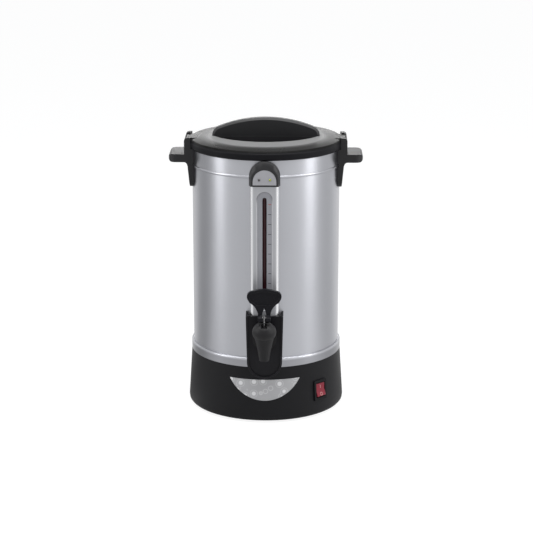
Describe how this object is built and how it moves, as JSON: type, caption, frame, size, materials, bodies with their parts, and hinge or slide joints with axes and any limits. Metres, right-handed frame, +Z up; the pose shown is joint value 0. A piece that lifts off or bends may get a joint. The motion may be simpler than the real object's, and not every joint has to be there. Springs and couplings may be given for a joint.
{
  "type": "electric water boiler",
  "caption": "Tall round steel water urn on a black base, with a sight gauge, a lever tap, side handles, a rocker switch and a lift-off lid with an arched grip.",
  "frame": {"origin": "on the vessel's axis at floor level, in the plane of the four feet", "axes": "+Z up, the tap faces -Y, +X to the right of someone who faces the tap"},
  "size_m": [0.288, 0.2814, 0.4396],
  "materials": {
    "shell_steel": "brushed",
    "tank_steel": "satin",
    "black_plastic": "satin",
    "base_plastic": "fine grain",
    "tap_plastic": "satin",
    "rocker_red": "gloss",
    "silver_trim": "satin print",
    "lamp_dark": "gloss",
    "lamp_green": "gloss",
    "circuit_board": "matte",
    "sight_glass": "clear",
    "silicone": "matte",
    "foot_rubber": "matte",
    "heater_aluminium": "cast",
    "element_steel": "heat stained",
    "sensor_body": "matte",
    "contact_brass": "plain",
    "lead_cover": "matte",
    "nut_plastic": "matte",
    "fastener_steel": "zinc"
  },
  "bodies": {
    "boiler": {"tank": "tank_steel", "outer_shell": "shell_steel", "rim_collar": "black_plastic", "base_skirt": "base_plastic", "base_plate": "base_plastic", "base_screws": "fastener_steel", "feet": "foot_rubber", "trim_panel": "silver_trim", "switch_housing": "tap_plastic", "switch_tabs": "contact_brass", "inlet_socket": "tap_plastic", "inlet_pins": "contact_brass", "heater_plate": "heater_aluminium", "heating_element": "element_steel", "thermostat": "sensor_body", "thermal_cutout": "sensor_body", "tie_bolt": "fastener_steel", "tie_nut": "fastener_steel", "gauge_spine": "shell_steel", "gauge_tube": "sight_glass", "gauge_cap": "silicone", "gauge_tee": "tap_plastic", "indicator_hood": "black_plastic", "indicator_face": "silver_trim", "boil_lamp": "lamp_dark", "warm_lamp": "lamp_green", "indicator_board": "circuit_board", "handle_left": "black_plastic", "handle_right": "black_plastic", "handle_screws": "fastener_steel", "tap_shield": "base_plastic", "tap_body": "tap_plastic", "tap_bonnet": "tap_plastic", "tap_seals": "silicone", "tap_nut": "nut_plastic", "tap_spring": "fastener_steel", "wiring": "lead_cover"},
    "lid": {"lid_shell": "black_plastic", "lid_grip": "black_plastic", "lid_liner": "tank_steel", "lid_seal": "silicone", "grip_screws": "fastener_steel", "liner_screws": "fastener_steel"},
    "stem": {"valve_stem": "fastener_steel", "seat_cup": "silicone"},
    "lever": {"tap_lever": "tap_plastic", "lever_pin": "fastener_steel"},
    "rocker": {"switch_rocker": "rocker_red"}
  },
  "joints": [
    {"name": "lid_lift", "type": "slide", "parent": "boiler", "child": "lid", "axis": [0, 0, 1], "range_m": [0, 0.1]},
    {"name": "stem_lift", "type": "slide", "parent": "boiler", "child": "stem", "axis": [0, 0, 1], "range_m": [0, 0.00436], "deforming": ["tap_spring"]},
    {"name": "lever_tilt", "type": "hinge", "parent": "stem", "child": "lever", "pos_m": [0, -0.145, 0.17258], "axis": [1, 0, 0], "range_deg": [0, 50], "stiffness_Nm_per_rad": 0.12},
    {"name": "rocker_tilt", "type": "hinge", "parent": "boiler", "child": "rocker", "pos_m": [0.0802, -0.0802, 0.04125], "axis": [0.7071, 0.7071, 0], "range_deg": [0, 16]}
  ],
  "couplings": [
    {"joint": "stem_lift", "follows": "lever_tilt", "m_per_rad": 0.005}
  ]
}
